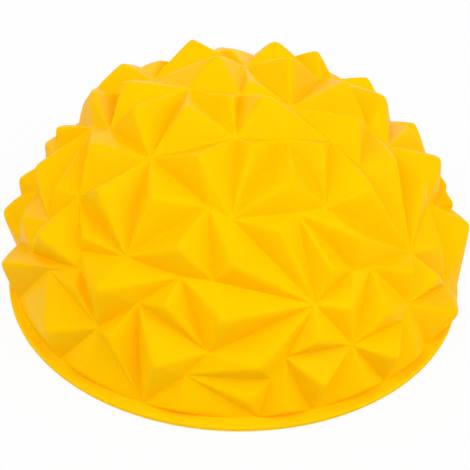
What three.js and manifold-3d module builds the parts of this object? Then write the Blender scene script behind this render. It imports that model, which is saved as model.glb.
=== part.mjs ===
// Sensory half ball: a hollow half ball of soft yellow PVC to stand on, sit on or squeeze.
// Its skin is a net of raised pyramids, and a thin flange runs round its foot.
// Millimetres, +Z up. The origin is the middle of the round base, on the ground.
// The front of the ball, as one looks at it, faces -Y.

import * as THREE from 'three';
import { mergeVertices } from 'three/addons/utils/BufferGeometryUtils.js';
import Module from 'manifold-3d';

const wasm = await Module();
wasm.setup();

// Driving sizes of the ball
const footRadius = 75.8;        // where the pyramids meet the flange
const flangeWidth = 4.2;        // the smooth flange outside the pyramids
const baseRadius = footRadius + flangeWidth;
const valleyHeight = 75;        // top of the valley surface over the ground
const wall = 1.6;               // skin of the dome
const flangeThickness = 1.0;
const pyramidRise = 4.4;        // least height of a tip over the middle of its base
const pyramidRiseShare = 0.165; // and the share of its base's width that is added to it
const footRiseShare = 0.45;     // unseen pyramids with a side on the flange rise by this share
const tipWallShare = 1.5;       // how much deeper the inside follows at a tip than at a valley

// Sizes of the base and its valve
const baseThickness = 1.0;
const baseEdgeSetback = 0.3;    // the base disc ends this far inside the flange
const fitGap = 0.3;             // clearance between pieces that pass through each other
const valveHoleRadius = 8.4;    // hole in the base disc
const seatFlangeWidth = 5;      // the seat's flange laps the base disc by this much
const seatFlangeThickness = 1.4;
const seatRecessDepth = 2.3;    // the plug's head lies in it, clear of the ground
const seatWall = 1.5;
const seatNeckLength = 12;      // neck above the recess, inside the ball
const seatNeckRadius = 4.4;
const boreRadius = 2.6;
const plugHeadThickness = 1.5;
const plugHeadInset = 0.5;      // the head sits this far above the ground
const plugLength = 13;          // shank of the plug, under its head
const plugTipRadius = 1.8;
const plugRimRound = 0.4;

// Fineness of the round pieces
const roundSteps = 72;
const valveSteps = 40;
const lipSteps = 5;
const footStepShare = 0.044;   // of half a turn
const rimSteps = 2;
const plugTipSteps = 4;
const cutOverrun = 2;
const mergeTolerance = 1e-4;

const flangeTop = baseThickness + flangeThickness;

// The view that the pixel coordinates below are read in: a square picture of the ball from its
// front, from above. Lengths in the picture are shares of the base radius that it shows.
const eyeDistanceShare = 5.5;
const aimHeightShare = 0.193;
const groundHeightShare = 0.00625;   // the eye's and the aim's heights start here
const eyeElevation = THREE.MathUtils.degToRad(38.62);
const eyeRoll = THREE.MathUtils.degToRad(1.93);
const focalPixels = 1218.5;
const pictureMiddlePixels = [235, 235];

const ground = new THREE.Vector3(0, 0, groundHeightShare);
const eye = new THREE.Vector3(0, -Math.cos(eyeElevation), Math.sin(eyeElevation))
  .multiplyScalar(eyeDistanceShare)
  .add(ground);
const aim = new THREE.Vector3(0, 0, aimHeightShare).add(ground);
const forward = aim.clone().sub(eye).normalize();
const levelRight = new THREE.Vector3(1, 0, 0);
const levelUp = new THREE.Vector3().crossVectors(levelRight, forward);
const right = levelRight.clone().applyAxisAngle(forward, -eyeRoll);
const up = levelUp.clone().applyAxisAngle(forward, -eyeRoll);

// The shape of the ball that the picture shows, in the same shares, and that of the ball built
// here. A change of a driving size stretches the net of pyramids over the new shape.
const pictureShapeShares = {
  foot: 0.9475, valleyTop: 0.9375, flangeTop: 0.025, leastRise: 0.055, riseOfWidth: 0.165,
};
const builtShape = {
  foot: footRadius, valleyTop: valleyHeight, flangeTop, leastRise: pyramidRise,
  riseOfWidth: pyramidRiseShare,
};

function sightLine([x, y]) {
  const direction = forward.clone()
    .addScaledVector(right, (x - pictureMiddlePixels[0]) / focalPixels)
    .addScaledVector(up, (pictureMiddlePixels[1] - y) / focalPixels);
  return new THREE.Ray(eye.clone(), direction.normalize());
}

// Points where valleys meet, read from the picture in pixels.
// c: round the crown, f: front, l: left, r: right, u, m and n: on the outline
const seenValleyPixels = {
  c1: [236, 138], c2: [189, 88], c3: [245, 66], c4: [240, 95], c5: [291, 107], c6: [288, 139],
  c7: [332, 141], c8: [150, 158], c9: [152, 80], c10: [120, 94], c11: [319, 79],
  f1: [231, 219], f2: [208, 207], f3: [126, 257], f4: [181, 277], f5: [213, 281], f6: [316, 305],
  f7: [297, 213], f8: [326, 208], f9: [353, 271], f10: [371, 267], f11: [138, 303], f12: [209, 353],
  f13: [185, 375], f14: [284, 357], f15: [271, 379], f16: [352, 345], f17: [403, 322],
  f18: [408, 304], f19: [98, 328],
  l1: [110, 130], l2: [93, 127], l3: [79, 196], l4: [80, 251], l5: [80, 269], l6: [49, 270],
  l7: [20, 242], l8: [49, 221], l9: [38, 192], l10: [32, 253],
  r1: [369, 129], r2: [360, 167], r3: [388, 146], r4: [411, 253], r5: [428, 203],
  r6: [444, 285],
  u1: [141, 67], u3: [182, 65], u5: [254, 55], u6: [293, 56], u7: [333, 79], u9: [390, 121],
  u10: [96, 88], u11: [78, 125], u12: [57, 157], m9: [426, 153],
  n1: [21, 195], n9: [446, 192], n10: [452, 209],
};

// Points where valleys meet on the side that the picture doesn't show: the turn from +X towards
// +Y, the back, as a share of half a turn, and the rise as a share of the quarter turn to the top
const hiddenValleyShares = {
  u2: [0.772, 0.522], u4: [0.62, 0.655], u8: [0.228, 0.422], m1: [0.922, 0.267],
  m2: [0.822, 0.322], m3: [0.733, 0.367], m4: [0.628, 0.433], m5: [0.511, 0.467],
  m6: [0.406, 0.4], m7: [0.3, 0.367], m8: [0.178, 0.311], m10: [0.011, 0.256], n2: [0.889, 0.156],
  n3: [0.778, 0.167], n4: [0.656, 0.2], n5: [0.539, 0.156], n6: [0.439, 0.2], n7: [0.322, 0.144],
  n8: [0.217, 0.189],
};

// Points where valleys run out on the flange: the turn from +X, as a share of half a turn
const footValleyShares = {
  g1: -0.906, g2: -0.761, g3: -0.617, g4: -0.461, g5: -0.389, g6: -0.272, g7: -0.172, g8: -0.044,
  g9: 0.111, g10: 0.233, g11: 0.356, g12: 0.467, g13: 0.583, g14: 0.706, g15: 0.822, g16: 0.983,
};

// Some of them lie further out on the flange
const footReachShares = { g1: 1.02, g8: 1.045, g16: 1.03 };

// Pyramids whose tip the picture places: the corners of the base, the tip in pixels and, where it
// differs, the rise as a share of the usual one. The tip is the point of its line of sight that
// is nearest to that rise over the middle of the base. Low pyramids at the foot have a small or
// negative share, which keeps a tip over the foot and not out over the flange.
const seenPyramidPixels = [
  // crown
  ['c2 c4 c3 c9', [217, 55]], ['c2 c4 c1', [233, 99], 0.85], ['c3 c4 c5', [252, 82]],
  ['c4 c1 c6 c7 c5', [265, 96], 0.7], ['c3 c5 c11', [291, 56]], ['c5 c11 r1', [349, 81]],
  ['c8 c1 c2', [186, 106], 0.75], ['c8 c2 l1', [133, 106], 1.2], ['c5 c7 r2 r1', [359, 117], 0.7],
  ['l1 c2 c9 c10', [125, 82]], ['c10 c9 u1 u2 u10', [121, 64]], ['c9 u3 u2 u1', [162, 61]],
  ['c9 c3 u4 u3', [192, 38]], ['c3 u5 u4', [228, 49]], ['c3 c11 u6 u5', [275, 41]],
  ['c11 u7 u6', [318, 50]], ['u7 u9 u8', [368, 76]],
  // upper front
  ['c8 c1 f1 f2', [199, 155], 0.85], ['c1 f1 c6', [252, 146], 0.6], ['c6 f1 f7 f8', [292, 179]],
  ['c6 c7 f8', [324, 147], 0.5], ['c7 f8 r4 r2', [372, 189], 1.2], ['c8 l3 l2 l1', [89, 146]],
  ['c8 f2 f3', [150, 196]], ['c8 l3 f3', [97, 190], 1.2],
  // middle of the front
  ['l3 f3 l4', [84, 236], 0.7], ['f3 f2 f5 f4', [178, 247], 1.3], ['f2 f1 f6 f5', [233, 264]],
  ['f1 f7 f6', [279, 231], 0.8], ['f7 f9 f6', [333, 270]], ['f7 f8 r4 f10 f9', [361, 238], 1.3],
  ['l4 f3 f4 f11 f19 l5', [95, 290], 1.3], ['f4 f5 f6 f12', [222, 321], 1.2],
  ['f4 f11 f12', [165, 306]], ['f9 f10 f16 f6', [352, 309], 0.9],
  ['f10 f16 f17 f18', [390, 312], 1.3], ['f10 r4 f18', [414, 272], 0.5],
  // lower front
  ['f11 f12 f13 g3', [153, 366], 1.2], ['f11 f19 g3', [109, 339]], ['f19 g2 g3', [82, 372], -0.6],
  ['f13 f12 f6 f14 f15', [259, 368]], ['f6 f16 f14', [319, 341]], ['f14 f16 g5', [325, 387]],
  ['f16 g6 g5', [366, 388], -0.3], ['f16 f17 g6', [399, 359]], ['f17 f18 g7 g6', [417, 357], -0.8],
  ['f14 g5 g4 f15', [286, 410], -0.2], ['f13 f15 g4', [249, 402], 0.4], ['f13 g4 g3', [178, 409], 0.1],
  // left
  ['l2 l3 l8', [56, 187]], ['l2 l8 l9 u12', [35, 167]], ['l9 l8 l10 l7', [22, 217]],
  ['l3 l8 l10 l5 l4', [36, 236]], ['l7 l10 l5 l6 g1 g16', [1, 263]], ['l6 l5 f19', [76, 288], 1.2],
  ['l6 f19 g2 g1', [47, 331], 2.4], ['l1 c10 u10 u11 l2', [92, 92]], ['l2 u12 u11', [56, 127]],
  ['u12 m1 m2 u11', [45, 144]], ['l9 n1 m1 u12', [20, 178]], ['l9 l7 g16 n2 n1', [3, 212]],
  // right
  ['r1 r2 r4 r3', [397, 162], 1.2], ['r3 r4 r5', [425, 178], 0.6], ['c11 r1 r3 u9 u7', [385, 96]],
  ['r3 m9 u9', [410, 128]], ['r3 r5 m10 m9', [441, 159]], ['r4 r5 r6', [441, 247], 0.7],
  ['r4 f18 r6', [442, 278]], ['f18 r6 g8 g7', [458, 314]], ['r5 m10 n10 g8 r6', [470, 225]],
  ['m10 m9 n9', [445, 183]], ['m10 n9 n10', [452, 203]],
  // just behind the outline
  ['n1 n2 m1', [24, 180]], ['u10 u2 m3 u11', [85, 103]], ['u2 u3 m4 m3', [146, 67]],
  ['u4 u5 m5 m4', [221, 47]], ['u6 u7 u8 m7', [340, 79]], ['u8 u9 m8', [387, 113]],
  ['u9 m9 m8', [415, 123]], ['m8 m9 n9', [431, 158]], ['n9 n10 g9 n8', [445, 193]],
  ['n10 g8 g9', [465, 243]],
];

// Pyramids that the picture doesn't show: the tip stands over the middle of the base
const hiddenPyramids = [
  'u11 m3 m2', 'u3 u4 m4', 'u5 u6 m6 m5', 'u6 m7 m6', 'u8 m8 m7', 'm1 m2 n2', 'm2 m3 n3 n2',
  'm3 n4 n3', 'm3 m4 n4', 'm4 m5 n5 n4', 'm5 n6 n5', 'm5 m6 n6', 'm6 m7 n7 n6', 'm7 n8 n7',
  'm7 m8 n8', 'm8 n9 n8',
  'n2 g16 g15', 'n2 g15 n3', 'n3 g15 g14', 'n3 g14 n4', 'n4 g14 g13', 'n4 g13 n5',
  'n5 g13 g12', 'n5 g12 n6', 'n6 g12 g11', 'n6 g11 n7', 'n7 g11 g10', 'n7 g10 n8',
  'n8 g10 g9',
];

const yellow = new THREE.MeshStandardMaterial({ color: 0xffc400, roughness: 0.42, metalness: 0 });
const paleYellow = new THREE.MeshStandardMaterial({ color: 0xf2ba10, roughness: 0.5, metalness: 0 });
const plugWhite = new THREE.MeshStandardMaterial({ color: 0xf1eee4, roughness: 0.45, metalness: 0 });

// The valley surface is half an ellipsoid, round from above. A point of it is kept as its
// direction once the ellipsoid is pressed into a half ball of radius 1. A sight line that misses
// the surface gives the point where it passes closest, just outside.
function seenDirection(pixel) {
  const { foot, valleyTop } = pictureShapeShares;
  const pressed = new THREE.Vector3(1 / foot, 1 / foot, 1 / valleyTop);
  const line = sightLine(pixel);
  line.origin.multiply(pressed);
  line.direction.multiply(pressed).normalize();
  const unitBall = new THREE.Sphere(new THREE.Vector3(), 1);
  const point = new THREE.Vector3();
  return line.intersectSphere(unitBall, point)
    || line.closestPointToPoint(unitBall.center, point);
}

function directionAt(turnShare, riseShare) {
  const turn = Math.PI * turnShare;
  const tilt = Math.PI / 2 * riseShare;
  return new THREE.Vector3(
    Math.cos(tilt) * Math.cos(turn), Math.cos(tilt) * Math.sin(turn), Math.sin(tilt));
}

const valleyDirection = {};
for (const [name, pixel] of Object.entries(seenValleyPixels)) {
  valleyDirection[name] = seenDirection(pixel);
}
for (const [name, [turnShare, riseShare]] of Object.entries(hiddenValleyShares)) {
  valleyDirection[name] = directionAt(turnShare, riseShare);
}

function footPoint(turnShare, reachShare, shape) {
  return directionAt(turnShare, 0).multiplyScalar(shape.foot * reachShare).setZ(shape.flangeTop);
}

function valleyPoint(name, shape) {
  if (name in footValleyShares) {
    return footPoint(footValleyShares[name], footReachShares[name] ?? 1, shape);
  }
  const { foot, valleyTop } = shape;
  return valleyDirection[name].clone().multiply(new THREE.Vector3(foot, foot, valleyTop));
}

// The foot follows the flange between two foot points, so their edge gets points between.
function footArc(from, to, shape) {
  const start = footValleyShares[from];
  let sweep = footValleyShares[to] - start;
  if (sweep > 1) sweep -= 2;
  if (sweep < -1) sweep += 2;
  const startReach = footReachShares[from] ?? 1;
  const endReach = footReachShares[to] ?? 1;
  const steps = Math.max(1, Math.round(Math.abs(sweep) / footStepShare));
  const points = [];
  for (let i = 1; i < steps; i++) {
    const reachShare = startReach + (endReach - startReach) * i / steps;
    points.push(footPoint(start + sweep * i / steps, reachShare, shape));
  }
  return points;
}

// The corners of a pyramid's base in order, turning left as seen from outside
function pyramidBase(names, shape) {
  const corners = names.map((name) => valleyPoint(name, shape));
  const middle = new THREE.Vector3();
  for (const corner of corners) middle.addScaledVector(corner, 1 / corners.length);
  const turning = new THREE.Vector3();
  corners.forEach((corner, i) => {
    const next = corners[(i + 1) % corners.length];
    turning.add(new THREE.Vector3().crossVectors(
      corner.clone().sub(middle), next.clone().sub(middle)));
  });
  const width = Math.sqrt(turning.length() / 2);
  const rise = shape.leastRise + shape.riseOfWidth * width;
  const ordered = turning.dot(middle) > 0 ? names : [...names].reverse();
  const outline = [];
  ordered.forEach((name, i) => {
    const next = ordered[(i + 1) % ordered.length];
    outline.push(valleyPoint(name, shape));
    if (name in footValleyShares && next in footValleyShares) {
      outline.push(...footArc(name, next, shape));
    }
  });
  return { outline, middle, rise };
}

// From the middle of a pyramid's base to its tip, as a share of its usual rise: straight out, or,
// where the picture shows the tip, to the nearest point on the line of sight
function tipLean({ middle, rise }, tipPixel, riseShare) {
  const lean = middle.clone().setLength(riseShare);
  if (!tipPixel) return lean;
  const tip = middle.clone().addScaledVector(lean, rise);
  sightLine(tipPixel).closestPointToPoint(tip.clone(), tip);
  return tip.sub(middle).divideScalar(rise);
}

function makePyramid(names, tipPixel, riseShare) {
  const lean = tipLean(pyramidBase(names, pictureShapeShares), tipPixel, riseShare);
  const { outline, middle, rise } = pyramidBase(names, builtShape);
  return { outline, tip: middle.addScaledVector(lean, rise) };
}

function makeHiddenPyramid(names) {
  const onFoot = names.filter((name) => name in footValleyShares).length > 1;
  return makePyramid(names, undefined, onFoot ? footRiseShare : 1);
}

const pyramids = [
  ...seenPyramidPixels.map(([corners, tipPixel, riseShare]) => (
    makePyramid(corners.split(' '), tipPixel, riseShare ?? 1))),
  ...hiddenPyramids.map((corners) => makeHiddenPyramid(corners.split(' '))),
];

function towardsMiddle(point, distance) {
  return point.clone().setLength(point.length() - distance);
}

function footRing() {
  const names = Object.keys(footValleyShares);
  const points = [];
  names.forEach((name, i) => {
    const next = names[(i + 1) % names.length];
    points.push(valleyPoint(name, builtShape), ...footArc(name, next, builtShape));
  });
  return points;
}

function solidFromTriangles(points) {
  const soup = new THREE.BufferGeometry().setFromPoints(points);
  return solidFromGeometry(soup);
}

function solidFromGeometry(geometry) {
  const bare = geometry.clone();
  bare.deleteAttribute('normal');
  bare.deleteAttribute('uv');
  const merged = mergeVertices(bare, mergeTolerance);
  const triVerts = Uint32Array.from(merged.index.array);
  const vertProperties = Float32Array.from(merged.attributes.position.array);
  return new wasm.Manifold(new wasm.Mesh({ numProp: 3, vertProperties, triVerts }));
}

function geometryFromSolid(solid) {
  const mesh = solid.getMesh();
  const geometry = new THREE.BufferGeometry();
  geometry.setAttribute('position', new THREE.BufferAttribute(mesh.vertProperties, 3));
  geometry.setIndex(new THREE.BufferAttribute(mesh.triVerts, 1));
  return geometry;
}

// A closed solid under a skin of pyramids: the skin, a wall from its foot down to floorHeight and
// a flat floor. inset moves the skin inwards, more at the tips than in the valleys.
function spikedSolid(inset, floorHeight) {
  const place = (point) => towardsMiddle(point, inset);
  const points = [];
  for (const { outline, tip } of pyramids) {
    const innerTip = towardsMiddle(tip, inset * tipWallShare);
    outline.forEach((corner, i) => {
      points.push(place(corner), place(outline[(i + 1) % outline.length]), innerTip);
    });
  }
  const rim = footRing().map(place);
  const floorMiddle = new THREE.Vector3(0, 0, floorHeight);
  rim.forEach((high, i) => {
    const nextHigh = rim[(i + 1) % rim.length];
    const low = high.clone().setZ(floorHeight);
    const nextLow = nextHigh.clone().setZ(floorHeight);
    points.push(high, low, nextLow, high, nextLow, nextHigh, floorMiddle, nextLow, low);
  });
  return solidFromTriangles(points);
}

function roundProfile(middleRadius, middleHeight, radius, from, to, steps) {
  const points = [];
  for (let i = 0; i <= steps; i++) {
    const angle = from + (to - from) * i / steps;
    points.push(new THREE.Vector2(
      middleRadius + radius * Math.cos(angle), middleHeight + radius * Math.sin(angle)));
  }
  return points;
}

// Turns a profile of [radius, height] points about Z
function turned(profile, steps) {
  const geometry = new THREE.LatheGeometry(profile, steps);
  geometry.rotateX(Math.PI / 2);
  return geometry;
}

function flangeGeometry() {
  const inner = footRadius - wall - cutOverrun;
  const lip = flangeThickness / 2;
  const profile = [
    new THREE.Vector2(inner, baseThickness),
    ...roundProfile(baseRadius - lip, baseThickness + lip, lip, -Math.PI / 2, Math.PI / 2, lipSteps),
    new THREE.Vector2(inner, flangeTop),
    new THREE.Vector2(inner, baseThickness),
  ];
  return turned(profile, roundSteps);
}

function makeDome() {
  const outside = spikedSolid(0, baseThickness);
  const inside = spikedSolid(wall, -cutOverrun);
  const shell = outside.add(solidFromGeometry(flangeGeometry())).subtract(inside);
  return geometryFromSolid(shell);
}

function makeBaseDisc() {
  const edge = baseThickness / 2;
  const radius = baseRadius - baseEdgeSetback;
  const profile = [
    new THREE.Vector2(valveHoleRadius, 0),
    new THREE.Vector2(radius - edge, 0),
    new THREE.Vector2(radius, edge),
    new THREE.Vector2(radius, baseThickness),
    new THREE.Vector2(valveHoleRadius, baseThickness),
    new THREE.Vector2(valveHoleRadius, 0),
  ];
  return turned(profile, roundSteps);
}

const seatCupRadius = valveHoleRadius - fitGap;
const seatRecessRadius = seatCupRadius - seatWall;
const seatTop = seatRecessDepth + seatWall + seatNeckLength;

function makeValveSeat() {
  const profile = [
    [seatRecessRadius, 0],
    [seatCupRadius, 0],
    [seatCupRadius, baseThickness],
    [valveHoleRadius + seatFlangeWidth, baseThickness],
    [valveHoleRadius + seatFlangeWidth, baseThickness + seatFlangeThickness],
    [seatCupRadius, baseThickness + seatFlangeThickness],
    [seatCupRadius, seatRecessDepth + seatWall],
    [seatNeckRadius, seatRecessDepth + seatWall],
    [seatNeckRadius, seatTop],
    [boreRadius, seatTop],
    [boreRadius, seatRecessDepth],
    [seatRecessRadius, seatRecessDepth],
    [seatRecessRadius, 0],
  ];
  return turned(profile.map(([radius, height]) => new THREE.Vector2(radius, height)), valveSteps);
}

function makeValvePlug() {
  const headRadius = seatRecessRadius - fitGap;
  const headTop = plugHeadInset + plugHeadThickness;
  const shankTop = headTop + plugLength;
  const shankRadius = boreRadius - fitGap;
  const profile = [
    new THREE.Vector2(0, plugHeadInset),
    ...roundProfile(headRadius - plugRimRound, plugHeadInset + plugRimRound, plugRimRound,
      -Math.PI / 2, 0, rimSteps),
    new THREE.Vector2(headRadius, headTop),
    new THREE.Vector2(shankRadius, headTop),
    new THREE.Vector2(shankRadius, shankTop - plugTipRadius),
    ...roundProfile(0, shankTop - plugTipRadius, plugTipRadius, 0, Math.PI / 2, plugTipSteps),
  ];
  return turned(profile, valveSteps);
}

const ball = new THREE.Group();

function addPiece(name, geometry, material) {
  const mesh = new THREE.Mesh(geometry, material);
  mesh.name = name;
  ball.add(mesh);
}

addPiece('spiked_dome', makeDome(), yellow);
addPiece('base_disc', makeBaseDisc(), paleYellow);
addPiece('valve_seat', makeValveSeat(), paleYellow);
addPiece('valve_plug', makeValvePlug(), plugWhite);

export default ball;
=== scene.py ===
"""Sensory half ball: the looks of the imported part.

The dome of soft yellow PVC is built anew as a fine mesh on the same net of pyramids as the solid,
with rounded ridges and tips, sharp valleys and a smooth flange. The base sheet, the air seat and
its stopper are turned finely. Shapes are made in millimetres and placed in metres.
"""

import math

import bpy
import numpy as np
from mathutils import Matrix


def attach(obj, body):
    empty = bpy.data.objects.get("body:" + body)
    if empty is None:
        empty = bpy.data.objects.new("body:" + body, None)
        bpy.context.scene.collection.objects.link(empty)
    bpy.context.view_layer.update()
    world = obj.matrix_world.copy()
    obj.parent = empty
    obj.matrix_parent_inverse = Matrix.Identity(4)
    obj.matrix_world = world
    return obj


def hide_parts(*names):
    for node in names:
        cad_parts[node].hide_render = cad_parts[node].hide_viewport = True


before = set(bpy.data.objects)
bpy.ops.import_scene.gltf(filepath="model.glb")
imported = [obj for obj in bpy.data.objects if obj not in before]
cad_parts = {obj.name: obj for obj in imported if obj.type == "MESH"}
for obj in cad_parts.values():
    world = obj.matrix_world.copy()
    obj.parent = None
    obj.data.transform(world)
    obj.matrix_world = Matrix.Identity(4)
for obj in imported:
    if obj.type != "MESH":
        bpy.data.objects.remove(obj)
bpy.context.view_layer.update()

MM = 0.001

# Sizes, the same as in the part's source
FOOT_RADIUS = 75.8
FLANGE_WIDTH = 4.2
BASE_RADIUS = FOOT_RADIUS + FLANGE_WIDTH
VALLEY_HEIGHT = 75.0
WALL = 1.6
FLANGE_THICKNESS = 1.0
PYRAMID_RISE = 4.4
PYRAMID_RISE_SHARE = 0.165
FOOT_RISE_SHARE = 0.45
TIP_WALL_SHARE = 1.5
BASE_THICKNESS = 1.0
FIT_GAP = 0.3
VALVE_HOLE_RADIUS = 8.4
SEAT_FLANGE_WIDTH = 5.0
SEAT_FLANGE_THICKNESS = 1.4
SEAT_RECESS_DEPTH = 2.3
SEAT_WALL = 1.5
SEAT_NECK_LENGTH = 12.0
SEAT_NECK_RADIUS = 4.4
BORE_RADIUS = 2.6
PLUG_HEAD_THICKNESS = 1.5
PLUG_HEAD_INSET = 0.5
PLUG_LENGTH = 13.0
PLUG_TIP_RADIUS = 1.8
FLANGE_TOP = BASE_THICKNESS + FLANGE_THICKNESS

# The photograph's view. Lengths are shares of the base radius, pixels are the photograph's.
EYE_DISTANCE_SHARE = 5.5
AIM_HEIGHT_SHARE = 0.193
GROUND_HEIGHT_SHARE = 0.00625
EYE_ELEVATION = math.radians(38.62)
EYE_ROLL = math.radians(1.93)
FOCAL_PIXELS = 1218.5
PICTURE_PIXELS = 470
PICTURE_MIDDLE = (235, 235)

GROUND = np.array([0, 0, GROUND_HEIGHT_SHARE])
EYE = GROUND + EYE_DISTANCE_SHARE * np.array([0, -math.cos(EYE_ELEVATION),
                                              math.sin(EYE_ELEVATION)])
AIM = np.array([0, 0, AIM_HEIGHT_SHARE]) + GROUND


def unit(v):
    return v / np.linalg.norm(v)


FORWARD = unit(AIM - EYE)
LEVEL_RIGHT = np.array([1.0, 0, 0])
LEVEL_UP = np.cross(LEVEL_RIGHT, FORWARD)
RIGHT = math.cos(EYE_ROLL) * LEVEL_RIGHT - math.sin(EYE_ROLL) * np.cross(FORWARD, LEVEL_RIGHT)
UP = math.cos(EYE_ROLL) * LEVEL_UP - math.sin(EYE_ROLL) * np.cross(FORWARD, LEVEL_UP)

# The ball that the photograph shows, in shares of the base radius, and the one built here, in mm
PICTURE_SHAPE = {"foot": 0.9475, "valley_top": 0.9375, "flange_top": 0.025, "rise": 0.055,
                 "rise_of_width": 0.165}
BUILT_SHAPE = {"foot": FOOT_RADIUS, "valley_top": VALLEY_HEIGHT, "flange_top": FLANGE_TOP,
               "rise": PYRAMID_RISE, "rise_of_width": PYRAMID_RISE_SHARE}

# Points where valleys meet, in pixels of the photograph
SEEN_VALLEYS = {
    "c1": (236, 138), "c2": (189, 88), "c3": (245, 66), "c4": (240, 95), "c5": (291, 107),
    "c6": (288, 139), "c7": (332, 141), "c8": (150, 158), "c9": (152, 80), "c10": (120, 94),
    "c11": (319, 79), "f1": (231, 219), "f2": (208, 207), "f3": (126, 257), "f4": (181, 277),
    "f5": (213, 281), "f6": (316, 305), "f7": (297, 213), "f8": (326, 208), "f9": (353, 271),
    "f10": (371, 267), "f11": (138, 303), "f12": (209, 353), "f13": (185, 375), "f14": (284, 357),
    "f15": (271, 379), "f16": (352, 345), "f17": (403, 322), "f18": (408, 304), "f19": (98, 328),
    "l1": (110, 130), "l2": (93, 127), "l3": (79, 196), "l4": (80, 251), "l5": (80, 269),
    "l6": (49, 270), "l7": (20, 242), "l8": (49, 221), "l9": (38, 192), "l10": (32, 253),
    "r1": (369, 129), "r2": (360, 167), "r3": (388, 146), "r4": (411, 253), "r5": (428, 203),
    "r6": (444, 285),
    "u1": (141, 67), "u3": (182, 65), "u5": (254, 55), "u6": (293, 56), "u7": (333, 79),
    "u9": (390, 121), "u10": (96, 88), "u11": (78, 125), "u12": (57, 157), "m9": (426, 153),
    "n1": (21, 195), "n9": (446, 192), "n10": (452, 209),
}

# The same on the hidden side: shares of half a turn from +X, and of the quarter turn to the top
HIDDEN_VALLEYS = {
    "u2": (0.772, 0.522), "u4": (0.62, 0.655), "u8": (0.228, 0.422), "m1": (0.922, 0.267),
    "m2": (0.822, 0.322), "m3": (0.733, 0.367), "m4": (0.628, 0.433), "m5": (0.511, 0.467),
    "m6": (0.406, 0.4), "m7": (0.3, 0.367), "m8": (0.178, 0.311), "m10": (0.011, 0.256),
    "n2": (0.889, 0.156), "n3": (0.778, 0.167), "n4": (0.656, 0.2), "n5": (0.539, 0.156),
    "n6": (0.439, 0.2), "n7": (0.322, 0.144), "n8": (0.217, 0.189),
}

# Points where valleys run out on the flange: shares of half a turn, and how far out they lie
FOOT_VALLEYS = {
    "g1": -0.906, "g2": -0.761, "g3": -0.617, "g4": -0.461, "g5": -0.389, "g6": -0.272,
    "g7": -0.172, "g8": -0.044, "g9": 0.111, "g10": 0.233, "g11": 0.356, "g12": 0.467,
    "g13": 0.583, "g14": 0.706, "g15": 0.822, "g16": 0.983,
}
FOOT_REACHES = {"g1": 1.02, "g8": 1.045, "g16": 1.03}

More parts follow.
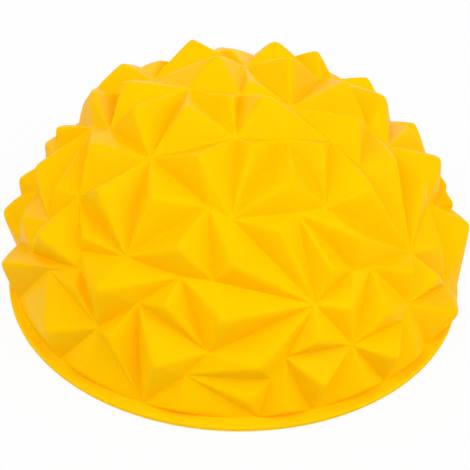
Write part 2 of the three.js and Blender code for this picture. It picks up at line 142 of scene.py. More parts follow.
# Pyramids: the corners of the base, the tip in pixels of the photograph and, where it differs,
# the rise as a share of the usual one. The tip is the point of its line of sight that is nearest
# to that rise over the middle of the base. Low pyramids at the foot have a small or negative
# share, which keeps a tip over the foot and not out over the flange.
SEEN_PYRAMIDS = [
    ("c2 c4 c3 c9", (217, 55)), ("c2 c4 c1", (233, 99), 0.85), ("c3 c4 c5", (252, 82)),
    ("c4 c1 c6 c7 c5", (265, 96), 0.7), ("c3 c5 c11", (291, 56)), ("c5 c11 r1", (349, 81)),
    ("c8 c1 c2", (186, 106), 0.75), ("c8 c2 l1", (133, 106), 1.2),
    ("c5 c7 r2 r1", (359, 117), 0.7),
    ("l1 c2 c9 c10", (125, 82)), ("c10 c9 u1 u2 u10", (121, 64)), ("c9 u3 u2 u1", (162, 61)),
    ("c9 c3 u4 u3", (192, 38)), ("c3 u5 u4", (228, 49)), ("c3 c11 u6 u5", (275, 41)),
    ("c11 u7 u6", (318, 50)), ("u7 u9 u8", (368, 76)),
    ("c8 c1 f1 f2", (199, 155), 0.85), ("c1 f1 c6", (252, 146), 0.6), ("c6 f1 f7 f8", (292, 179)),
    ("c6 c7 f8", (324, 147), 0.5), ("c7 f8 r4 r2", (372, 189), 1.2), ("c8 l3 l2 l1", (89, 146)),
    ("c8 f2 f3", (150, 196)), ("c8 l3 f3", (97, 190), 1.2),
    ("l3 f3 l4", (84, 236), 0.7), ("f3 f2 f5 f4", (178, 247), 1.3), ("f2 f1 f6 f5", (233, 264)),
    ("f1 f7 f6", (279, 231), 0.8), ("f7 f9 f6", (333, 270)), ("f7 f8 r4 f10 f9", (361, 238), 1.3),
    ("l4 f3 f4 f11 f19 l5", (95, 290), 1.3), ("f4 f5 f6 f12", (222, 321), 1.2),
    ("f4 f11 f12", (165, 306)), ("f9 f10 f16 f6", (352, 309), 0.9),
    ("f10 f16 f17 f18", (390, 312), 1.3), ("f10 r4 f18", (414, 272), 0.5),
    ("f11 f12 f13 g3", (153, 366), 1.2), ("f11 f19 g3", (109, 339)),
    ("f19 g2 g3", (82, 372), -0.6),
    ("f13 f12 f6 f14 f15", (259, 368)), ("f6 f16 f14", (319, 341)), ("f14 f16 g5", (325, 387)),
    ("f16 g6 g5", (366, 388), -0.3), ("f16 f17 g6", (399, 359)),
    ("f17 f18 g7 g6", (417, 357), -0.8), ("f14 g5 g4 f15", (286, 410), -0.2),
    ("f13 f15 g4", (249, 402), 0.4), ("f13 g4 g3", (178, 409), 0.1),
    ("l2 l3 l8", (56, 187)), ("l2 l8 l9 u12", (35, 167)), ("l9 l8 l10 l7", (22, 217)),
    ("l3 l8 l10 l5 l4", (36, 236)), ("l7 l10 l5 l6 g1 g16", (1, 263)),
    ("l6 l5 f19", (76, 288), 1.2),
    ("l6 f19 g2 g1", (47, 331), 2.4), ("l1 c10 u10 u11 l2", (92, 92)), ("l2 u12 u11", (56, 127)),
    ("u12 m1 m2 u11", (45, 144)), ("l9 n1 m1 u12", (20, 178)), ("l9 l7 g16 n2 n1", (3, 212)),
    ("r1 r2 r4 r3", (397, 162), 1.2), ("r3 r4 r5", (425, 178), 0.6),
    ("c11 r1 r3 u9 u7", (385, 96)),
    ("r3 m9 u9", (410, 128)), ("r3 r5 m10 m9", (441, 159)), ("r4 r5 r6", (441, 247), 0.7),
    ("r4 f18 r6", (442, 278)), ("f18 r6 g8 g7", (458, 314)), ("r5 m10 n10 g8 r6", (470, 225)),
    ("m10 m9 n9", (445, 183)), ("m10 n9 n10", (452, 203)),
    ("n1 n2 m1", (24, 180)), ("u10 u2 m3 u11", (85, 103)), ("u2 u3 m4 m3", (146, 67)),
    ("u4 u5 m5 m4", (221, 47)), ("u6 u7 u8 m7", (340, 79)), ("u8 u9 m8", (387, 113)),
    ("u9 m9 m8", (415, 123)), ("m8 m9 n9", (431, 158)), ("n9 n10 g9 n8", (445, 193)),
    ("n10 g8 g9", (465, 243)),
]

# Pyramids of the hidden side, whose tips stand over the middle of the base
HIDDEN_PYRAMIDS = [
    "u11 m3 m2", "u3 u4 m4", "u5 u6 m6 m5", "u6 m7 m6", "u8 m8 m7", "m1 m2 n2", "m2 m3 n3 n2",
    "m3 n4 n3", "m3 m4 n4", "m4 m5 n5 n4", "m5 n6 n5", "m5 m6 n6", "m6 m7 n7 n6", "m7 n8 n7",
    "m7 m8 n8", "m8 n9 n8",
    "n2 g16 g15", "n2 g15 n3", "n3 g15 g14", "n3 g14 n4", "n4 g14 g13", "n4 g13 n5",
    "n5 g13 g12", "n5 g12 n6", "n6 g12 g11", "n6 g11 n7", "n7 g11 g10", "n7 g10 n8",
    "n8 g10 g9",
]

# Fineness of the skin, and how soft its forms are, in mm
EDGE_STEPS = 18            # points along each ridge and valley
EDGE_CROWDING = 1.7        # how much closer together they lie at its ends and near it
HUB_SOFTNESS = 0.25        # where ridges meet a valley
RIDGE_GROWTH = 0.055       # and what they gain with each mm away from there, up to a tip's
RIDGE_REACH = 2.0          # how far from a valley they gain it all, as a share of their softness
TIP_SOFTNESS = 1.15
VALLEY_SOFTNESS = 0.16
CORNER_SOFTNESS = 0.05
FOOT_SOFTNESS = 0.4
FOOT_FADE = 2.5            # how fast that fades over the flange,
FOOT_FADE_SHARE = 0.1      # down to this share
RIM_SOFTNESS = 0.05
LAST_ROW_SOFTNESS = 0.01
TIP_LIFT = 0.75            # what the rounding takes off a tip
RIDGE_ARCH = 0.35          # how far ridges and faces swell
SOFTENING_ROUNDS = 2
SOLVER_STEPS = 120
FLANGE_ROW_SHARES = (0.06, 0.14, 0.25, 0.4, 0.6, 0.82, 1.0)
RIM_STEPS = 8
RIM_SQUARE_SHARE = 0.35    # a low share makes the lower half of the rim more upright

# A faint slow wave over the skin: its height in mm, how soon it sets in above the valleys, and
# its parts, each with the radians per mm along X, Y and Z and the radians it starts at
UNEVENNESS = 0.1
UNEVENNESS_RAMP = 3
WAVES = [((0.11, 0.05, 0.08), 0.4), ((-0.06, 0.13, 0.1), 1.9), ((0.09, -0.12, 0.14), 3.1),
         ((0.21, 0.17, -0.12), 5.2), ((-0.19, 0.24, 0.16), 0.9)]

# Turned pieces: the points round them, the weld seam under the base, and roundings, all in mm
SHEET_TURN_STEPS = 192
TURN_STEPS = 96
SHEET_SETBACK = 0.1
SEAM_INSET = 5.0
SEAM_WIDTH = 2.4
SEAM_DEPTH = 0.25
SEAM_ROUNDING = 0.2
TOUCH_ROUNDING = 0.1       # where two pieces meet
SHEET_ROUNDING = 0.45
HOLE_ROUNDING = 0.15
SEAT_MOUTH_ROUNDING = 0.4
SEAT_EDGE_ROUNDING = 0.5
SEAT_CORNER_ROUNDING = 0.3
SEAT_NECK_ROUNDING = 0.6
HEAD_ROUNDING = 0.4
HEAD_BEVEL = 0.2
SHANK_BEVEL = 0.3
TIP_LEAD = 0.2
HEAD_STEPS = 6
TIP_STEPS = 8

# Soft PVC: base colours with the deeper ones of its clouds, and a paler yellow painted on the
# flange and rim as painted light
DOME_YELLOWS = (1.0, 0.55, 0.0), (0.99, 0.53, 0.0)
# painted light: a paler yellow that brightens the flange and rim towards the bottom
FLANGE_PAINTED_LIGHT = (1.0, 0.63, 0.004)
# painted light: the sheet's yellows are paler than the dome's, which brightens the sheet's edge
# in the shade under the flange
SHEET_YELLOWS = (1.0, 0.6, 0.004), (0.98, 0.55, 0.003)
STOPPER_WHITES = (0.86, 0.84, 0.78), (0.82, 0.8, 0.73)
PAINTED_LIGHT_REACH = 0.6           # how far above the flange top the painted light starts, in mm
SHINE_LEVEL = 0.01
GLOW_SCALE = 0.0008        # how deep light goes into it, in m, and its shares of red, green, blue
GLOW_SHARES = (1.0, 0.45, 0.08)
CLOUD_SCALE = 35
CLOUD_DETAIL = 3
CLOUD_RANGE = (0.3, 0.7)   # the part of the noise that makes the clouds
HAZE = 0.04                # how much the clouds change the roughness
GRAIN_SCALE = 900
GRAIN_DETAIL = 2
GRAIN_STRENGTH = 0.05
GRAIN_DEPTH = 0.0002

# Soft lamps round the ball: the turn from +X and the height in degrees, the size in m, the watts
LAMPS = {
    "key": (-50, 50, 1.2, 6.6), "fill": (-130, 50, 1.2, 6.1), "right": (-18, 37, 1.2, 7.0),
    "left": (195, 40, 1.2, 4.9), "top": (90, 89, 1.5, 1.7), "back": (90, 22, 1.2, 2.0),
}
LAMP_DISTANCE = 1.5
STRIP_SIZE = (3.4, 0.9)
STRIP_PLACE = (-0.3, 2.0, 0.45)
STRIP_WATTS = 26.0
UNDER_SIZE = 0.6
UNDER_PLACE = (0, 0, -1)
UNDER_WATTS = 6.0
ROOM_LIGHT = 0.38
FLOOR_RADIUS = 4.0
FLOOR_LAP = 2.0            # how far the base overlaps the floor, in mm
FLOOR_DROP = 0.00005       # keeps the floor clear of the base
FLOOR_GREY = 0.78
FLOOR_ROUGHNESS = 0.9
FLOOR_GLOW = 0.94          # how much of the floor's look is plain white, not its own shading
SENSOR_WIDTH = 36
SIGHT_RANGE = (0.01, 20)


# The net of valleys and tips

def seen_direction(pixel):
    """Where the line of sight meets the valley surface, pressed into a ball of radius 1."""
    pressed = 1 / np.array([PICTURE_SHAPE["foot"], PICTURE_SHAPE["foot"],
                            PICTURE_SHAPE["valley_top"]])
    origin = EYE * pressed
    direction = unit(sight_line(pixel) * pressed)
    along = -origin @ direction
    miss = origin @ origin - along * along
    if miss < 1:
        along -= math.sqrt(1 - miss)
    return origin + along * direction


def sight_line(pixel):
    return unit(FORWARD + RIGHT * (pixel[0] - PICTURE_MIDDLE[0]) / FOCAL_PIXELS
                + UP * (PICTURE_MIDDLE[1] - pixel[1]) / FOCAL_PIXELS)


def direction_at(turn_share, rise_share):
    turn, tilt = math.pi * turn_share, math.pi / 2 * rise_share
    return np.array([math.cos(tilt) * math.cos(turn), math.cos(tilt) * math.sin(turn),
                     math.sin(tilt)])


VALLEY_DIRECTIONS = {name: seen_direction(pixel) for name, pixel in SEEN_VALLEYS.items()}
VALLEY_DIRECTIONS.update({name: direction_at(*share) for name, share in HIDDEN_VALLEYS.items()})


def foot_point(turn_share, reach, shape):
    point = direction_at(turn_share, 0) * shape["foot"] * reach
    point[2] = shape["flange_top"]
    return point


def valley_point(name, shape):
    if name in FOOT_VALLEYS:
        return foot_point(FOOT_VALLEYS[name], FOOT_REACHES.get(name, 1), shape)
    return VALLEY_DIRECTIONS[name] * np.array([shape["foot"], shape["foot"], shape["valley_top"]])


def foot_sweep(start_name, end_name):
    sweep = FOOT_VALLEYS[end_name] - FOOT_VALLEYS[start_name]
    return sweep - 2 * round(sweep / 2)


def foot_arc(start_name, end_name, shares, shape):
    """Points of the foot between two foot points, at these shares of the way."""
    start, sweep = FOOT_VALLEYS[start_name], foot_sweep(start_name, end_name)
    near, far = FOOT_REACHES.get(start_name, 1), FOOT_REACHES.get(end_name, 1)
    return np.array([foot_point(start + sweep * s, near + (far - near) * s, shape)
                     for s in shares])


def pyramid_base(names, shape):
    """The corners in order, turning left from outside, the middle of the base and the rise."""
    corners = np.array([valley_point(name, shape) for name in names])
    middle = corners.mean(0)
    spokes = corners - middle
    turning = np.cross(spokes, np.roll(spokes, -1, 0)).sum(0)
    width = math.sqrt(np.linalg.norm(turning) / 2)
    ordered = names if turning @ middle > 0 else names[::-1]
    return ordered, middle, shape["rise"] + shape["rise_of_width"] * width


def tip_lean(names, tip_pixel, rise_share):
    """From the middle of the base to the tip, as a share of the rise."""
    _, middle, rise = pyramid_base(names, PICTURE_SHAPE)
    lean = unit(middle) * rise_share
    if tip_pixel is None:
        return lean
    line = sight_line(tip_pixel)
    tip = middle + lean * rise
    nearest = EYE + line * ((tip - EYE) @ line)
    return (nearest - middle) / rise


def make_pyramids():
    pyramids = []
    hidden = [(corners, None) for corners in HIDDEN_PYRAMIDS]
    for corners, tip_pixel, *share in SEEN_PYRAMIDS + hidden:
        names = corners.split()
        ordered, middle, rise = pyramid_base(names, BUILT_SHAPE)
        on_foot = sum(name in FOOT_VALLEYS for name in names) > 1
        usual = FOOT_RISE_SHARE if on_foot and tip_pixel is None else 1
        rise_share = share[0] if share else usual
        pyramids.append((ordered, middle + tip_lean(names, tip_pixel, rise_share) * rise))
    return pyramids


# The fine skin

def crowded_shares(steps, crowding):
    """Shares from 0 to 1 that lie closer together at both ends."""
    u = np.arange(steps + 1) / steps
    return u ** crowding / (u ** crowding + (1 - u) ** crowding)


def facet_grid(steps, crowding):
    """A grid of points on a triangle, closer together along its edges: the step numbers
    (i, j, k) of each point, its shares of the three corners, and the small triangles."""
    steps_of = [(i, j, steps - i - j) for i in range(steps, -1, -1)
                for j in range(steps - i, -1, -1)]
    number = {ijk: n for n, ijk in enumerate(steps_of)}
    triangles = []
    for (i, j, k) in steps_of:
        if i >= 1:
            triangles.append((number[i, j, k], number[i - 1, j + 1, k], number[i - 1, j, k + 1]))
        if i >= 2:
            triangles.append((number[i - 1, j + 1, k], number[i - 2, j + 1, k + 1],
                              number[i - 1, j, k + 1]))
    weights = (np.array(steps_of) / steps) ** crowding
    weights /= weights.sum(1)[:, None]
    return steps_of, weights, np.array(triangles)


class Skin:
    """Collects the points and triangles of the fine skin."""

    def __init__(self):
        self.points, self.triangles = [], []
        self.marks = []       # how far up its pyramid a point lies, and how soft it is
        self.named, self.edges = {}, {}

    def add(self, point, height, softness):
        self.points.append(point)
        self.marks.append((height, softness))
        return len(self.points) - 1

    def corner(self, name, point, height, softness):
        if name not in self.named:
            self.named[name] = self.add(point, height, softness)
        return self.named[name]

    def edge(self, start, end, make):
        """The point numbers from start to end, with those between made once by make()."""
        if (start, end) in self.edges:
            return self.edges[start, end]
        if (end, start) in self.edges:
            return self.edges[end, start][::-1]
        numbers = [self.named[start], *[self.add(*made) for made in make()], self.named[end]]
        self.edges[start, end] = numbers
        return numbers


def softness_at(from_hub, from_valley):
    """How far the skin's forms blur at a point, from its distances in mm."""
    ridge = np.clip(HUB_SOFTNESS + RIDGE_GROWTH * from_hub, HUB_SOFTNESS, TIP_SOFTNESS)
    share = np.clip(from_valley / (RIDGE_REACH * ridge), 0, 1)
    return VALLEY_SOFTNESS + (ridge - VALLEY_SOFTNESS) * share


def make_skin(pyramids):
    """The pyramids as fine faces, over the foot and up to the tips."""
    skin = Skin()
    steps_of, weights, triangles = facet_grid(EDGE_STEPS, EDGE_CROWDING)
    along = crowded_shares(EDGE_STEPS, EDGE_CROWDING)
    for cell, (names, tip) in enumerate(pyramids):
        top = ("tip", cell)
        outward = unit(tip)
        tip = tip + outward * TIP_LIFT
        corners = [valley_point(name, BUILT_SHAPE) for name in names]
        skin.corner(top, tip, 1.0, TIP_SOFTNESS)
        for name, point in zip(names, corners):
            skin.corner(name, point, 0.0, CORNER_SOFTNESS)
        for n, name in enumerate(names):
            after = names[(n + 1) % len(names)]
            a, b = corners[n], corners[(n + 1) % len(names)]
            on_foot = name in FOOT_VALLEYS and after in FOOT_VALLEYS

            def base_at(shares, name=name, after=after, a=a, b=b, on_foot=on_foot):
                if on_foot:
                    return foot_arc(name, after, shares, BUILT_SHAPE)
                shares = np.asarray(shares)[:, None]
                return a * (1 - shares) + b * shares

            def surface(w, base_at=base_at, tip=tip, outward=outward, a=a, b=b):
                """Points and marks at the corner shares w (rows of a, b, tip)."""
                up = w[:, 2:3]
                across = w[:, 1] / np.maximum(w[:, 0] + w[:, 1], 1e-9)
                base = base_at(across)
                points = base * (1 - up) + tip * up
                points = points + outward * RIDGE_ARCH * 4 * up * (1 - up)
                from_hub = np.minimum(np.linalg.norm(points - a, axis=1),
                                      np.linalg.norm(points - b, axis=1))
                from_valley = np.linalg.norm(base - tip, axis=1) * up[:, 0]
                return points, up[:, 0], softness_at(from_hub, from_valley)

            def ridge(corner_slot):
                w = np.zeros((EDGE_STEPS - 1, 3))
                w[:, 2] = along[1:-1]
                w[:, corner_slot] = 1 - w[:, 2]
                return list(zip(*surface(w)))

            def valley():
                w = np.zeros((EDGE_STEPS - 1, 3))
                w[:, 1] = along[1:-1]
                w[:, 0] = 1 - w[:, 1]
                points, heights, _ = surface(w)
                softness = FOOT_SOFTNESS if on_foot else VALLEY_SOFTNESS
                return [(p, h, softness) for p, h in zip(points, heights)]

            low = skin.edge(name, after, valley)
            left = skin.edge(name, top, lambda: ridge(0))
            right = skin.edge(after, top, lambda: ridge(1))
            points, heights, softness = surface(weights)
            numbers = []
            for m, (i, j, k) in enumerate(steps_of):
                if k == 0:
                    numbers.append(low[j])
                elif j == 0:
                    numbers.append(left[k])
                elif i == 0:
                    numbers.append(right[k])
                else:
                    numbers.append(skin.add(points[m], heights[m], softness[m]))
            skin.triangles.extend(np.array(numbers)[triangles].tolist())
    return skin


def soften(points, triangles, softness):
    """Blurs the forms of a mesh, by softness (mm) at each point, over SOFTENING_ROUNDS rounds.
    Each is a step of heat flow on the surface, solved by conjugate gradients."""
    for _ in range(SOFTENING_ROUNDS):
        a, b, c = (points[triangles[:, n]] for n in range(3))
        area = np.linalg.norm(np.cross(b - a, c - a), axis=1) / 2
        area = np.maximum(area, 1e-8)
        rows, cols, values = [], [], []
        for n in range(3):
            here, left, right = (triangles[:, (n + m) % 3] for m in range(3))
            to_left, to_right = points[left] - points[here], points[right] - points[here]
            slope = (to_left * to_right).sum(1) / (2 * area) / 2
            rows += [left, right]
            cols += [right, left]
            values += [slope, slope]
        rows, cols, values = map(np.concatenate, (rows, cols, values))
        order = np.argsort(rows, kind="stable")
        rows, cols, values = rows[order], cols[order], values[order]
        count = len(points)
        starts = np.searchsorted(rows, np.arange(count))
        point_area = np.bincount(triangles.ravel(), np.repeat(area / 3, 3), count)
        flow = softness ** 2 / SOFTENING_ROUNDS
        held = point_area / flow
        total = np.bincount(rows, values, count)

        def pull(x):
            return ((held + total)[:, None] * x
                    - np.add.reduceat(values[:, None] * x[cols], starts, axis=0))

        points = solve(pull, held[:, None] * points, points, 1 / np.maximum(held + total, 1e-6))
    return points


def solve(pull, target, start, scale):
    """Conjugate gradients for pull(x) = target."""
    x = start.copy()
    rest = target - pull(x)
    z = rest * scale[:, None]
    way = z.copy()
    power = (rest * z).sum(0)
    for _ in range(SOLVER_STEPS):
        pulled = pull(way)
        step = power / np.maximum((way * pulled).sum(0), 1e-12)
        x += step * way
        rest -= step * pulled
        z = rest * scale[:, None]
        after = (rest * z).sum(0)
        way = z + after / np.maximum(power, 1e-12) * way
        power = after
    return x


def add_flange(skin):
    """Rows of points from the foot out to the rim and round its edge. Returns the first row and
    the last one."""
    names = list(FOOT_VALLEYS)
    foot = []
    for n, name in enumerate(names):
        after = names[(n + 1) % len(names)]
        numbers = skin.edges.get((name, after)) or skin.edges[after, name][::-1]
        foot += numbers[:-1]
    lip = FLANGE_THICKNESS / 2
    lip_middle = BASE_RADIUS - lip
    rings = [foot]
    foot_points = np.array([skin.points[n] for n in foot])
    foot_radii = np.hypot(foot_points[:, 0], foot_points[:, 1])
    turns = np.arctan2(foot_points[:, 1], foot_points[:, 0])

    def ring(radii, height, softness):
        return [skin.add(np.array([r * math.cos(t), r * math.sin(t), height]), 0.0, softness)
                for r, t in zip(radii, turns)]

    for share in FLANGE_ROW_SHARES:
        softness = FOOT_SOFTNESS * max(FOOT_FADE_SHARE, 1 - FOOT_FADE * share)
        rings.append(ring(foot_radii + (lip_middle - foot_radii) * share, FLANGE_TOP, softness))
    for n in range(1, RIM_STEPS + 1):
        angle = math.pi / 2 - math.pi * n / RIM_STEPS
        radius = lip_middle + lip * math.cos(angle) ** (1 if angle > 0 else RIM_SQUARE_SHARE)
        height = BASE_THICKNESS + lip + lip * math.sin(angle)
        rings.append(ring(np.full(len(foot), radius), height, RIM_SOFTNESS))
    for inner, outer in zip(rings, rings[1:]):
        for n in range(len(inner)):
            m = (n + 1) % len(inner)
            skin.triangles.append((inner[n], outer[n], outer[m]))
            skin.triangles.append((inner[n], outer[m], inner[m]))
    return foot, rings[-1]


def towards_middle(point, distance):
    return point * (1 - distance / np.linalg.norm(point))


def close_shell(skin, points, pyramids, foot, rim):
    """The underside of the flange and the inside of the dome, which close the skin."""
    points, triangles = list(points), list(skin.triangles)
    foot_place = {number: n for n, number in enumerate(foot)}
    high, low = [], []
    for number in foot:
        inside = towards_middle(skin.points[number], WALL)
        high.append(len(points))
        points.append(inside)
        low.append(len(points))
        points.append(np.array([inside[0], inside[1], BASE_THICKNESS]))
    for n in range(len(foot)):
        m = (n + 1) % len(foot)
        triangles += [(rim[n], low[n], low[m]), (rim[n], low[m], rim[m]),
                      (low[n], high[n], high[m]), (low[n], high[m], low[m])]
    inner = {}
    for names, tip in pyramids:
        numbers = []
        for name in names:
            if name in FOOT_VALLEYS:
                inner[name] = high[foot_place[skin.named[name]]]
            elif name not in inner:
                inner[name] = len(points)
                points.append(towards_middle(valley_point(name, BUILT_SHAPE), WALL))
        top = len(points)
        points.append(towards_middle(tip, WALL * TIP_WALL_SHARE))
        for n, name in enumerate(names):
            after = names[(n + 1) % len(names)]
            if name in FOOT_VALLEYS and after in FOOT_VALLEYS:
                edge = skin.edges.get((name, after)) or skin.edges[after, name][::-1]
                numbers = [high[foot_place[number]] for number in edge]
            else:
                numbers = [inner[name], inner[after]]
            triangles += [(q, p, top) for p, q in zip(numbers, numbers[1:])]
    return np.array(points), np.array(triangles)


def unevenness(points):
    """A faint slow wave over the moulded skin, from -1 to 1."""
    return sum(np.sin(points @ np.array(k) + phase) for k, phase in WAVES) / len(WAVES)


# Turned pieces

def rounded_profile(corners, steps=5):
    """A closed profile of (radius, height, rounding) corners, with each corner rounded."""
    corners = np.array(corners, float)
    profile = []
    for n, (x, y, rounding) in enumerate(corners):
        here = np.array([x, y])
        before, after = corners[n - 1][:2], corners[(n + 1) % len(corners)][:2]
        if rounding <= 0:
            profile.append(here)
            continue
        start = here + unit(before - here) * rounding
        end = here + unit(after - here) * rounding
        for s in np.linspace(0, 1, steps):
            profile.append((1 - s) ** 2 * start + 2 * s * (1 - s) * here + s * s * end)
    return np.array(profile)


def turned_mesh(profile, steps, on_axis=False):
    """Turns a profile of (radius, height) points about Z. A closed profile makes a ring; one
    that starts and ends on the axis makes a solid."""
    turns = np.arange(steps) / steps * 2 * math.pi
    rows = profile[1:-1] if on_axis else profile
    points = [(r * math.cos(t), r * math.sin(t), z) for r, z in rows for t in turns]
    faces = []
    count = len(rows)
    for n in range(count - 1 if on_axis else count):
        m = (n + 1) % count
        for s in range(steps):
            q = (s + 1) % steps
            faces.append((n * steps + s, n * steps + q, m * steps + q, m * steps + s))
    if on_axis:
        first, last = len(points), len(points) + 1
        points += [(0, 0, profile[0][1]), (0, 0, profile[-1][1])]
        for s in range(steps):
            q = (s + 1) % steps
            faces.append((first, q, s))
            faces.append((last, (count - 1) * steps + s, (count - 1) * steps + q))
    return np.array(points), faces


# Materials

def new_material(name):
    material = bpy.data.materials.new(name)
    material.use_nodes = True
    nodes, links = material.node_tree.nodes, material.node_tree.links
    return material, nodes, links, nodes["Principled BSDF"]


def noise(nodes, links, place, scale, detail):
    texture = nodes.new("ShaderNodeTexNoise")
    texture.inputs["Scale"].default_value = scale
    texture.inputs["Detail"].default_value = detail
    links.new(place.outputs["Object"], texture.inputs["Vector"])
    return texture.outputs["Fac"]


def map_range(nodes, links, value, start, end, to_start=0, to_end=1):
    """Maps a value from the range start to end onto the range to_start to to_end."""
    spread = nodes.new("ShaderNodeMapRange")
    spread.inputs["From Min"].default_value = start
    spread.inputs["From Max"].default_value = end
    spread.inputs["To Min"].default_value = to_start
    spread.inputs["To Max"].default_value = to_end
    links.new(value, spread.inputs["Value"])
    return spread.outputs["Result"]


def blend_colours(nodes, links, share):
    """A node that blends two colours, by the share of the second."""
    blend = nodes.new("ShaderNodeMix")
    blend.data_type = "RGBA"
    links.new(share, blend.inputs[0])
    return blend


def soft_pvc(name, colours, roughness, glow, pale=None):
    """Soft PVC with clouds of a slightly deeper colour and a faint moulded grain. Where pale is
    given, it is a paler yellow painted on the flange and rim, more of it the lower they lie:
    painted light that brightens them where the dome's overhang and the floor shade them."""
    material, nodes, links, shader = new_material(name)
    shader.inputs["Specular IOR Level"].default_value = SHINE_LEVEL
    shader.inputs["Subsurface Weight"].default_value = glow
    shader.inputs["Subsurface Radius"].default_value = GLOW_SHARES
    shader.inputs["Subsurface Scale"].default_value = GLOW_SCALE
    place = nodes.new("ShaderNodeTexCoord")
    cloud = noise(nodes, links, place, CLOUD_SCALE, CLOUD_DETAIL)
    colour = blend_colours(nodes, links, map_range(nodes, links, cloud, *CLOUD_RANGE))
    for slot, shade in zip((6, 7), colours):
        colour.inputs[slot].default_value = (*shade, 1)
    if pale:
        # painted light: the paler yellow is blended in from just above the flange top down to the
        # bottom of the rim
        split = nodes.new("ShaderNodeSeparateXYZ")
        links.new(place.outputs["Object"], split.inputs[0])
        low = map_range(nodes, links, split.outputs["Z"], (FLANGE_TOP + PAINTED_LIGHT_REACH) * MM,
                        (FLANGE_TOP - FLANGE_THICKNESS) * MM)
        painted_light_blend = blend_colours(nodes, links, low)
        links.new(colour.outputs[2], painted_light_blend.inputs[6])
        painted_light_blend.inputs[7].default_value = (*pale, 1)
        colour = painted_light_blend
    links.new(colour.outputs[2], shader.inputs["Base Color"])
    links.new(map_range(nodes, links, cloud, *CLOUD_RANGE, roughness - HAZE, roughness + HAZE),
              shader.inputs["Roughness"])
    bump = nodes.new("ShaderNodeBump")
    bump.inputs["Strength"].default_value = GRAIN_STRENGTH
    bump.inputs["Distance"].default_value = GRAIN_DEPTH
    links.new(noise(nodes, links, place, GRAIN_SCALE, GRAIN_DETAIL), bump.inputs["Height"])
    links.new(bump.outputs["Normal"], shader.inputs["Normal"])
    return material


# The pieces

def make_piece(name, points, faces, body, node, material):
    mesh = bpy.data.meshes.new(name)
    mesh.from_pydata((np.asarray(points) * MM).tolist(), [], [tuple(map(int, f)) for f in faces])
    mesh.validate()
    mesh.shade_smooth()
    mesh.materials.append(material)
    piece = bpy.data.objects.new(name, mesh)
    bpy.context.scene.collection.objects.link(piece)
    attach(piece, body)
    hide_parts(node)
    return piece


def make_dome(material):
    pyramids = make_pyramids()
    skin = make_skin(pyramids)
    foot, rim = add_flange(skin)
    rough = np.array(skin.points)
    softness = np.array([mark[1] for mark in skin.marks])
    softness[rim] = LAST_ROW_SOFTNESS
    triangles = np.array(skin.triangles)
    smooth = soften(rough, triangles, softness)
    heights = np.array([mark[0] for mark in skin.marks])
    lift = unevenness(smooth) * UNEVENNESS * np.clip(heights * UNEVENNESS_RAMP, 0, 1)
    smooth += smooth / np.linalg.norm(smooth, axis=1)[:, None] * lift[:, None]
    points, faces = close_shell(skin, smooth, pyramids, foot, rim)
    return make_piece("soft_dome", points, faces, "ball", "spiked_dome", material)


def make_base_sheet(material):
    radius = BASE_RADIUS - SHEET_SETBACK
    seam = radius - SEAM_INSET
    profile = rounded_profile([
        (VALVE_HOLE_RADIUS, 0, HOLE_ROUNDING), (seam - SEAM_WIDTH, 0, SEAM_ROUNDING),
        (seam - SEAM_WIDTH + SEAM_DEPTH, SEAM_DEPTH, TOUCH_ROUNDING),
        (seam - SEAM_DEPTH, SEAM_DEPTH, TOUCH_ROUNDING), (seam, 0, SEAM_ROUNDING),
        (radius, 0, SHEET_ROUNDING), (radius, BASE_THICKNESS, TOUCH_ROUNDING),
        (VALVE_HOLE_RADIUS, BASE_THICKNESS, HOLE_ROUNDING)])
    points, faces = turned_mesh(profile, SHEET_TURN_STEPS)
    return make_piece("base_sheet", points, faces, "ball", "base_disc", material)


def make_air_seat(material):
    cup = VALVE_HOLE_RADIUS - FIT_GAP
    recess = cup - SEAT_WALL
    cup_top = SEAT_RECESS_DEPTH + SEAT_WALL
    neck_top = cup_top + SEAT_NECK_LENGTH
    flange = VALVE_HOLE_RADIUS + SEAT_FLANGE_WIDTH
    flange_top = BASE_THICKNESS + SEAT_FLANGE_THICKNESS
    profile = rounded_profile([
        (recess, 0, SEAT_MOUTH_ROUNDING), (cup, 0, SEAT_MOUTH_ROUNDING),
        (cup, BASE_THICKNESS, TOUCH_ROUNDING), (flange, BASE_THICKNESS, TOUCH_ROUNDING),
        (flange, flange_top, SEAT_EDGE_ROUNDING), (cup, flange_top, SEAT_CORNER_ROUNDING),
        (cup, cup_top, SEAT_NECK_ROUNDING), (SEAT_NECK_RADIUS, cup_top, SEAT_NECK_ROUNDING),
        (SEAT_NECK_RADIUS, neck_top, SEAT_EDGE_ROUNDING),
        (BORE_RADIUS, neck_top, SEAT_MOUTH_ROUNDING),
        (BORE_RADIUS, SEAT_RECESS_DEPTH, SEAT_CORNER_ROUNDING),
        (recess, SEAT_RECESS_DEPTH, SEAT_CORNER_ROUNDING)])
    points, faces = turned_mesh(profile, TURN_STEPS)
    return make_piece("air_seat", points, faces, "ball", "valve_seat", material)


def make_stopper(material):
    head = VALVE_HOLE_RADIUS - FIT_GAP - SEAT_WALL - FIT_GAP
    head_top = PLUG_HEAD_INSET + PLUG_HEAD_THICKNESS
    top = head_top + PLUG_LENGTH
    shank = BORE_RADIUS - FIT_GAP
    tip = [(PLUG_TIP_RADIUS * math.cos(a), top - PLUG_TIP_RADIUS * (1 - math.sin(a)))
           for a in np.linspace(0, math.pi / 2, TIP_STEPS)[:-1]]
    rim = [(head - HEAD_ROUNDING + HEAD_ROUNDING * math.sin(a),
            PLUG_HEAD_INSET + HEAD_ROUNDING - HEAD_ROUNDING * math.cos(a))
           for a in np.linspace(0, math.pi / 2, HEAD_STEPS)]
    profile = [(0, PLUG_HEAD_INSET), *rim, (head, head_top - HEAD_BEVEL),
               (head - HEAD_BEVEL, head_top), (shank + SHANK_BEVEL, head_top),
               (shank, head_top + SHANK_BEVEL), (shank, top - PLUG_TIP_RADIUS - TIP_LEAD),
               *tip, (0, top)]
    points, faces = turned_mesh(np.array(profile), TURN_STEPS, on_axis=True)
    return make_piece("stopper", points, faces, "plug", "valve_plug", material)


# Floor, light and camera

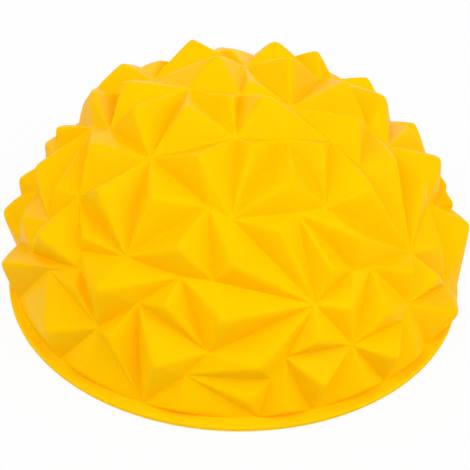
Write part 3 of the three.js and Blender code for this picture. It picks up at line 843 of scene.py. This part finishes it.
def white_light_path(nodes, links):
    """1 where a ray comes from the camera, a gloss or a clear surface, and 0 elsewhere."""
    path = nodes.new("ShaderNodeLightPath")
    seen = path.outputs["Is Camera Ray"]
    for kind in ("Is Glossy Ray", "Is Transmission Ray"):
        either = nodes.new("ShaderNodeMath")
        either.operation = "MAXIMUM"
        links.new(seen, either.inputs[0])
        links.new(path.outputs[kind], either.inputs[1])
        seen = either.outputs[0]
    return seen


def make_floor():
    """A pale floor that looks white and keeps a faint shadow. It is open under the base, which
    covers the opening, so that the base and the pulled stopper show from below."""
    mesh = bpy.data.meshes.new("floor")
    turns = [2 * math.pi * i / TURN_STEPS for i in range(TURN_STEPS)]
    points = [(radius * math.cos(turn), radius * math.sin(turn), -FLOOR_DROP)
              for radius in ((BASE_RADIUS - FLOOR_LAP) * MM, FLOOR_RADIUS) for turn in turns]
    faces = [(i, TURN_STEPS + i, TURN_STEPS + (i + 1) % TURN_STEPS, (i + 1) % TURN_STEPS)
             for i in range(TURN_STEPS)]
    mesh.from_pydata(points, [], faces)
    floor = bpy.data.objects.new("floor", mesh)
    bpy.context.scene.collection.objects.link(floor)
    material, nodes, links, shader = new_material("floor_white")
    shader.inputs["Base Color"].default_value = (FLOOR_GREY, FLOOR_GREY, FLOOR_GREY, 1)
    shader.inputs["Roughness"].default_value = FLOOR_ROUGHNESS
    shader.inputs["Specular IOR Level"].default_value = 0.0
    glow = nodes.new("ShaderNodeEmission")
    glow.inputs["Color"].default_value = (1, 1, 1, 1)
    glow.inputs["Strength"].default_value = 1.0
    part = nodes.new("ShaderNodeMath")
    part.operation = "MULTIPLY"
    part.inputs[1].default_value = FLOOR_GLOW
    links.new(white_light_path(nodes, links), part.inputs[0])
    mixed = nodes.new("ShaderNodeMixShader")
    links.new(part.outputs[0], mixed.inputs["Fac"])
    links.new(shader.outputs[0], mixed.inputs[1])
    links.new(glow.outputs[0], mixed.inputs[2])
    links.new(mixed.outputs[0], nodes["Material Output"].inputs["Surface"])
    mesh.materials.append(material)


def add_lamp(name, size, watts, place, direction, up=(0, 0, 1)):
    """A square lamp or, with two sizes, a rectangle, that shines in a direction."""
    light = bpy.data.lights.new(name, "AREA")
    if isinstance(size, tuple):
        light.shape = "RECTANGLE"
        light.size, light.size_y = size
    else:
        light.size = size
    light.energy = watts
    lamp = bpy.data.objects.new(name, light)
    lamp.matrix_world = looking(place, direction, up)
    bpy.context.scene.collection.objects.link(lamp)
    return lamp


def make_light():
    world = bpy.data.worlds.new("studio")
    bpy.context.scene.world = world
    world.use_nodes = True
    nodes, links = world.node_tree.nodes, world.node_tree.links
    background = nodes["Background"]
    background.inputs["Color"].default_value = (1, 1, 1, 1)
    background.inputs["Strength"].default_value = ROOM_LIGHT
    shown = nodes.new("ShaderNodeBackground")
    shown.inputs["Color"].default_value = (1, 1, 1, 1)
    shown.inputs["Strength"].default_value = 1.0
    choice = nodes.new("ShaderNodeMixShader")
    links.new(white_light_path(nodes, links), choice.inputs["Fac"])
    links.new(background.outputs[0], choice.inputs[1])
    links.new(shown.outputs[0], choice.inputs[2])
    links.new(choice.outputs[0], nodes["World Output"].inputs["Surface"])
    for name, (azimuth, elevation, size, watts) in LAMPS.items():
        turn, tilt = math.radians(azimuth), math.radians(elevation)
        place = LAMP_DISTANCE * np.array([math.cos(tilt) * math.cos(turn),
                                          math.cos(tilt) * math.sin(turn), math.sin(tilt)])
        add_lamp(name, size, watts, place, -place)
    # a lamp under the floor for the base, seen from below
    add_lamp("under", UNDER_SIZE, UNDER_WATTS, UNDER_PLACE, (0, 0, 1), up=(0, 1, 0))
    # a wide bright strip behind the ball, which only its gloss shows
    strip = add_lamp("strip", STRIP_SIZE, STRIP_WATTS, STRIP_PLACE, -np.array(STRIP_PLACE))
    strip.visible_camera = strip.visible_diffuse = strip.visible_transmission = False


def looking(place, direction, up=(0, 0, 1)):
    back = -unit(np.asarray(direction, float))
    right = unit(np.cross(up, back))
    return matrix_of(place, right, np.cross(back, right), back)


def matrix_of(place, right, up, back):
    rows = np.eye(4)
    rows[:3, 0], rows[:3, 1], rows[:3, 2], rows[:3, 3] = right, up, back, place
    return Matrix(rows.tolist())


def make_camera():
    camera = bpy.data.objects.new("camera", bpy.data.cameras.new("camera"))
    camera.data.sensor_fit = "HORIZONTAL"
    camera.data.sensor_width = SENSOR_WIDTH
    camera.data.lens = camera.data.sensor_width * FOCAL_PIXELS / PICTURE_PIXELS
    camera.data.clip_start, camera.data.clip_end = SIGHT_RANGE
    camera.matrix_world = matrix_of(EYE * BASE_RADIUS * MM, RIGHT, UP, -FORWARD)
    bpy.context.scene.collection.objects.link(camera)
    bpy.context.scene.camera = camera


# the dome's flange and rim get painted light, a paler yellow towards the bottom
make_dome(soft_pvc("yellow_pvc", DOME_YELLOWS, roughness=0.33, glow=0.2, pale=FLANGE_PAINTED_LIGHT))
# painted light: the sheet's paler yellows brighten its shaded edge at the floor
sheet_pvc = soft_pvc("sheet_pvc", SHEET_YELLOWS, roughness=0.42, glow=0.2)
make_base_sheet(sheet_pvc)
make_air_seat(sheet_pvc)
make_stopper(soft_pvc("stopper_plastic", STOPPER_WHITES, roughness=0.38, glow=0.1))
make_floor()
make_light()
make_camera()
bpy.context.scene.view_settings.view_transform = "Standard"
